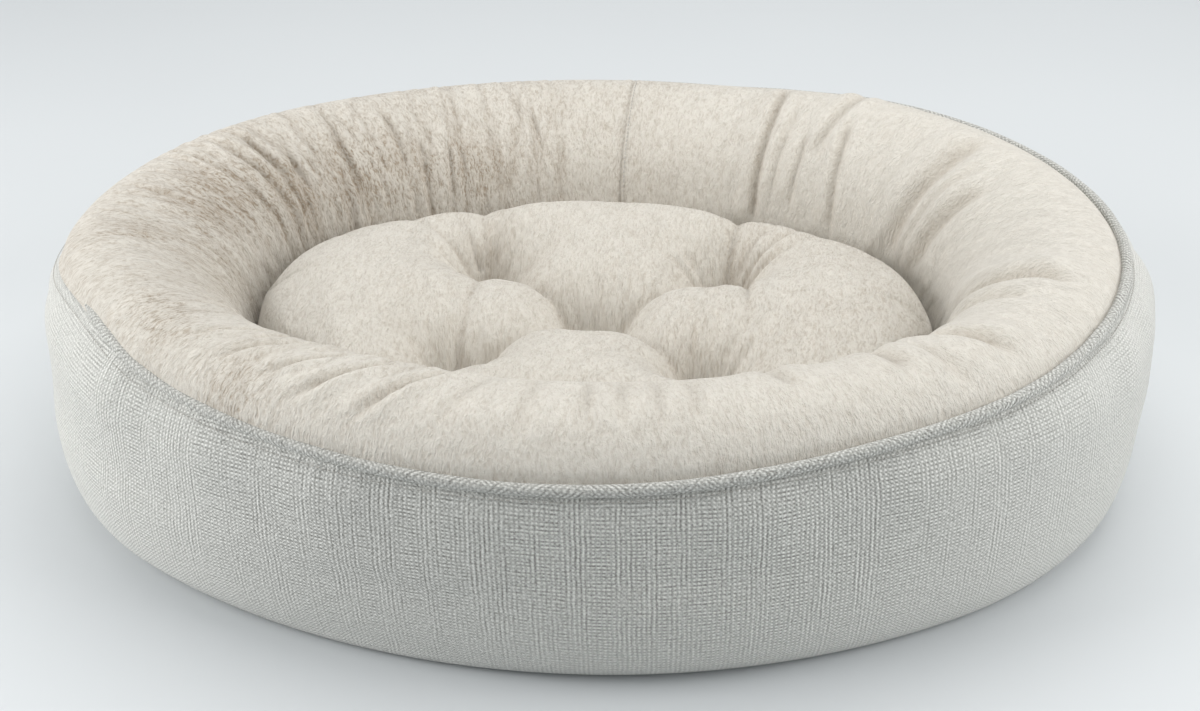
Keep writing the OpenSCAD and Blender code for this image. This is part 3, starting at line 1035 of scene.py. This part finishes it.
def rounded_disc(count, node, rounding):
    """A disc of the oval out to a node's edge, with a round edge over the node's height.
    Inside the edge it is level; at the edge it bends down a quarter of an ellipse, by
    equal steps of angle. Returns x, y, how much of the height is left, from one inside
    to none at the seam, and each point's share of the way out and its turn."""
    low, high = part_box(node)
    half_length, _ = half_sizes()
    reach, turn = disc_grid(count)
    edge_x, edge_y = oval(turn, half_length - high[0])
    radius = np.hypot(edge_x, edge_y)
    level = radius - rounding
    arc = rounding * np.pi / 4 + (high[2] - low[2]) * np.pi / 4
    flat = level / (level + arc)
    bend = np.clip((reach - flat) / (1 - flat), 0, 1) * np.pi / 2
    out = np.where(reach < flat, reach / flat * level, radius - rounding * (1 - np.sin(bend)))
    share = out / radius
    return edge_x * share, edge_y * share, np.cos(bend), reach, turn


class BED_OT_floor(bpy.types.Operator):
    """Makes the cloth of the base panel and of the lining over the wadding"""

    bl_idname = "bed.floor"
    bl_label = "Floor Layers"

    def execute(self, context):
        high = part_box("base_panel")[1]
        half_length, _ = half_sizes()
        base = sheet_disc("base_cloth", half_length - high[0], 0.0006, 90)
        base.data.flip_normals()
        finish_with(base, material_of("plain_cloth", plain_cloth), "base_cloth", "bolster", "base_panel")
        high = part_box("floor_lining")[1]
        lining = sheet_disc("lining_cloth", half_length - high[0], high[2], 90)
        finish_with(lining, material_of("plain_cloth", plain_cloth), "base_cloth", "bolster", "floor_lining")
        return {"FINISHED"}


def to_segment(x, y, start, end):
    """How far points lie from a line between two places, and how far along it."""
    run = np.subtract(end, start)
    t = np.clip(((x - start[0]) * run[0] + (y - start[1]) * run[1]) / (run @ run), 0, 1)
    return np.hypot(x - start[0] - t * run[0], y - start[1] - t * run[1]), t


def tuft_places():
    """The five tufts: the middle, and four corners that the outer buttons reach."""
    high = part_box("tuft_buttons")[1]
    button_radius = 0.01
    x, y = high[0] - button_radius, high[1] - button_radius
    return [(0, 0), (-x, y), (x, y), (-x, -y), (x, -y)]


FAN_WRINKLES = 12  # from each outer tuft
# Creases of the cushion: start, end, depth and width. A start or end is a tuft, counted
# as in tuft_places, or a place in metres.
CUSHION_CREASES = [
    (0, 1, 0.020, 0.014), (0, 2, 0.020, 0.014), (0, 3, 0.020, 0.014), (0, 4, 0.018, 0.014),
    (1, 3, 0.006, 0.010), ((0.123, 0.07), (0.131, -0.04), 0.010, 0.004),
    (1, (-0.125, 0.19), 0.016, 0.013), (1, (-0.21, 0.15), 0.008, 0.012),
    (2, (0.108, 0.19), 0.017, 0.008), (2, (0.22, 0.15), 0.004, 0.012),
    (3, (-0.20, -0.16), 0.012, 0.014), (3, (-0.11, -0.20), 0.014, 0.014),
    (4, (0.21, -0.14), 0.012, 0.014), (4, (0.12, -0.20), 0.014, 0.014),
]


def cushion_creases(x, y):
    """How deep the creases press in, and how close each point is to one, which the plush
    paints as shade. A crease between tufts is even, and one that runs out fades towards
    its end. Seeded fine wrinkles fan out from each outer tuft as well."""
    tufts = tuft_places()
    press = np.zeros_like(x)
    near = np.zeros_like(x)
    for start, end, depth, width in CUSHION_CREASES:
        inner = not isinstance(end, tuple)
        stop = tufts[end] if inner else end
        begin = start if isinstance(start, tuple) else tufts[start]
        d, t = to_segment(x, y, begin, stop)
        fade = 1 if inner else 1 - 0.7 * t
        press += fade * depth * np.exp(-(np.sqrt(d**2 + 0.002**2) - 0.002) / width)
        near += 0.7 * fade * swell(d, max(0.3 * width, 0.003))
    chance = np.random.default_rng(5)
    for place in tufts[1:]:
        for _ in range(FAN_WRINKLES):
            toward = math.atan2(place[1], 0.35 * place[0]) + chance.normal(0, 0.4)
            begin, reach = chance.uniform(0.012, 0.03), chance.uniform(0.05, 0.11)
            way = np.array([math.cos(toward), math.sin(toward)])
            d, t = to_segment(x, y, place + begin * way, place + reach * way)
            fade = (1 - t) * swell(d, 0.0022)
            press += 0.0029 * fade
            near += 0.65 * fade
    return press, near


class BED_OT_cushion(bpy.types.Operator):
    """Makes the tufted plush top of the cushion, which stands for its fill as well"""

    bl_idname = "bed.cushion"
    bl_label = "Cushion Top"

    def execute(self, context):
        sizes = bed_sizes()
        x, y, left, reach, _ = rounded_disc(109, "cushion_top", sizes.cushion_rounding)
        low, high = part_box("cushion_top")
        coarse = np.stack([x, y, low[2] + (high[2] - low[2]) * left], -1)
        tufts = tuft_places()
        pull = np.zeros_like(reach)
        pinned = reach > 0.985
        for place in tufts:
            r = np.hypot(coarse[..., 0] - place[0], coarse[..., 1] - place[1])
            pull = np.maximum(pull, np.exp(-((r / TUFT_REACH) ** 1.4)))
            pinned |= r < 0.006
        coarse[..., 2] -= sizes.tuft_depth * pull  # the tufts are pulled down before it settles
        slack = np.ones(reach.size)
        faces = grid_faces(*reach.shape, False)
        moved = settle(coarse.reshape(-1, 3), faces, pinned.ravel(), slack, CUSHION_LIMIT)
        points = finer(finer(coarse + moved.reshape(coarse.shape), 3, 0), 3, 1)
        x, y = points[..., 0], points[..., 1]
        reach = finer(finer(reach, 3, 0), 3, 1)
        middle_dip, back_dip, tuft_dip = 0.013, 0.006, sizes.cushion_crown + 0.012
        crown = sizes.cushion_crown * (1 - reach**4) - middle_dip * swell(reach, 0.55)
        crown -= back_dip * smooth_step(0.0, 0.14, y)
        press, near = cushion_creases(x, y)
        for place in tufts:
            r = np.hypot(x - place[0], y - place[1])
            a = np.arctan2(y - place[1], x - place[0])
            crown -= tuft_dip * np.exp(-((r / TUFT_REACH) ** 1.3))
            press *= 1 - swell(r, 0.020)
            rays = np.cos(9 * a + 2 * np.sin(3 * a + 40 * place[0]) + 50 * place[1])
            press += 0.0018 * rays * swell(r - 0.032, 0.022)
            # Painted shade in each tuft's pit and along its pressed-in ray creases.
            near += 0.5 * swell(r, 0.014) + 0.25 * np.maximum(rays, 0) * swell(r - 0.03, 0.02)
        points[..., 2] += (crown - press) * smooth_step(1, 0.9, reach)
        faces = grid_faces(*reach.shape, False)
        uv = points.reshape(-1, 3)[faces.ravel(), :2]
        top = new_mesh("cushion_plush", points.reshape(-1, 3), faces, uv)
        # Painted shade: the fold values darken the cushion in its creases and tuft pits.
        paint(top, "fold", np.clip(near, 0, 1))
        # Painted shade: the cushion's pile is darkened overall and more towards its right, which also
        # strengthens its flecks.
        paint(top, "shade", 0.27 + 0.13 * smooth_step(0.02, 0.2, x))
        pile = material_of("brushed_plush", plush)
        finish_with(top, pile, "plush", "cushion", "cushion_top", "cushion_fill")
        return {"FINISHED"}


class BED_OT_underside(bpy.types.Operator):
    """Makes the cushion's plain underside, drawn in at each tuft button"""

    bl_idname = "bed.underside"
    bl_label = "Cushion Underside"

    def execute(self, context):
        low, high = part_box("cushion_underside")
        x, y, left, reach, turn = rounded_disc(220, "cushion_underside", 0.04)
        z = high[2] - (high[2] - low[2]) * left
        button_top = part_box("tuft_buttons")[1][2]
        for place in tuft_places():
            r = np.hypot(x - place[0], y - place[1])
            a = np.arctan2(y - place[1], x - place[0])
            z = z + (button_top - low[2] + 0.001) * (1 - smooth_step(0.008, 0.024, r))
            z = z + 0.0012 * (1 + np.cos(8 * a)) * swell(r - 0.03, 0.014)
        gathers = 0.0008 * (1 + np.cos(80 * turn))
        z = z + gathers * swell(1 - reach, 0.05) * smooth_step(1, 0.97, reach)
        faces = grid_faces(*reach.shape, False)[:, ::-1]
        points = np.stack([x, y, z], -1).reshape(-1, 3)
        under = new_mesh("underside_cloth", points, faces, points[faces.ravel(), :2])
        plain = material_of("plain_cloth", plain_cloth)
        finish_with(under, plain, "base_cloth", "cushion", "cushion_underside")
        return {"FINISHED"}


class BED_OT_stage(bpy.types.Operator):
    """Makes the camera, the plain floor and the soft studio light"""

    bl_idname = "bed.stage"
    bl_label = "Stage"

    def execute(self, context):
        self.camera()
        self.floor()
        self.lights()
        bpy.context.scene.view_settings.view_transform = "Standard"
        return {"FINISHED"}

    def camera(self):
        """Looks at a point above the middle of the bed, from its azimuth, elevation and
        distance, and rolls a little about its own axis."""
        aim, distance = Vector((0, 0, 0.098)), 1.924  # in metres
        azimuth, elevation, roll = (math.radians(degrees) for degrees in (8.4, 28.1, 1.1))
        level = math.cos(elevation)
        back = Vector((math.sin(azimuth) * level, -math.cos(azimuth) * level, math.sin(elevation)))
        right = Vector((math.cos(azimuth), math.sin(azimuth), 0))
        up = back.cross(right)
        rolled_right = right * math.cos(roll) - up * math.sin(roll)
        rolled_up = right * math.sin(roll) + up * math.cos(roll)
        turned = Matrix((rolled_right, rolled_up, back)).transposed().to_4x4()
        camera = bpy.data.objects.new("camera", bpy.data.cameras.new("camera"))
        camera.data.lens = 70
        camera.data.shift_x = 0.0066
        camera.data.shift_y = -0.0232
        camera.matrix_world = Matrix.Translation(aim + back * distance) @ turned
        bpy.context.scene.collection.objects.link(camera)
        bpy.context.scene.camera = camera

    def floor(self):
        """A level floor 28 m square."""
        side = np.array([-14.0, 14.0])
        x, y = np.meshgrid(side, side)
        floor = new_mesh("floor", np.stack([x, y, 0 * x], -1).reshape(-1, 3), grid_faces(2, 2, False))
        floor.data.materials.append(simple_finish("floor", tuple(bed_colours().floor), 3, 0.02, 0.6, 0.0001))

    def lights(self):
        """A pale sky and three large soft lamps, all turned to the bed."""
        world = bpy.data.worlds.new("studio")
        world.use_nodes = True
        world.node_tree.nodes["Background"].inputs[0].default_value = (0.93, 0.97, 1.0, 1)
        world.node_tree.nodes["Background"].inputs[1].default_value = 0.38
        bpy.context.scene.world = world
        for name, place, size, power, colour in (
            ("overhead", (0.2, 0.55, 2.0), 2.2, 30.5, (1, 0.99, 0.97)),
            ("left", (-1.95, -0.6, 0.9), 1.5, 34, (1, 0.99, 0.98)),
            ("right", (2.0, -0.4, 1.1), 1.5, 26, (1, 0.99, 0.98)),
        ):
            lamp = bpy.data.lights.new(name, "AREA")
            lamp.size, lamp.energy, lamp.color = size, power, colour
            holder = bpy.data.objects.new(name, lamp)
            holder.location = place
            holder.rotation_mode = "QUATERNION"
            holder.rotation_quaternion = (Vector(place) - Vector((0, 0, 0.1))).to_track_quat("Z", "Y")
            bpy.context.scene.collection.objects.link(holder)


CARRIED = ("floor_wadding", "tuft_ties", "tuft_buttons")  # parts that keep their own shape


class BED_OT_carried(bpy.types.Operator):
    """Gives every carried part of the frame its finish"""

    bl_idname = "bed.carried"
    bl_label = "Carried Parts"

    def execute(self, context):
        finishes = {
            "thread": material_of("sewing_thread", thread_finish),
            "fibre": material_of("loose_fibre", fibre_finish),
            "button": material_of("horn_button", button_finish),
        }
        for row in frame["record"]["subparts"]:
            finish = finishes.get(row["material_slot"])
            if row["node"] in CARRIED and finish:
                for place in frame["nodes"][row["node"]].material_slots:
                    place.material = finish
        return {"FINISHED"}


class BED_PT_panel(bpy.types.Panel):
    """Sizes, colours and the makers of the bed"""

    bl_idname = "BED_PT_panel"
    bl_label = "Pet Bed"
    bl_space_type = "VIEW_3D"
    bl_region_type = "UI"
    bl_category = "Pet Bed"

    def draw(self, context):
        column = self.layout.column(align=True)
        for kind in MAKERS:
            column.operator(kind.bl_idname)
        for group in (context.scene.bed_sizes, context.scene.bed_colours):
            for name in group.bl_rna.properties.keys():
                if name not in ("rna_type", "name"):
                    column.prop(group, name)


MAKERS = (
    BED_OT_wall, BED_OT_rim, BED_OT_piping, BED_OT_floor, BED_OT_cushion, BED_OT_underside,
    BED_OT_stitching, BED_OT_carried, BED_OT_stage,
)
CLASSES = (BedSizes, BedColours, *MAKERS, BED_PT_panel)


def register():
    """Adds the classes and the scene's sizes and colours."""
    for kind in CLASSES:
        bpy.utils.register_class(kind)
    bpy.types.Scene.bed_sizes = bpy.props.PointerProperty(type=BedSizes)
    bpy.types.Scene.bed_colours = bpy.props.PointerProperty(type=BedColours)


def unregister():
    """Takes them away again."""
    del bpy.types.Scene.bed_sizes, bpy.types.Scene.bed_colours
    for kind in reversed(CLASSES):
        bpy.utils.unregister_class(kind)


def main():
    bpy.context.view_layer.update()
    register()
    for kind in MAKERS:
        getattr(bpy.ops.bed, kind.bl_idname.split(".")[1])()


if __name__ == "__main__":
    main()
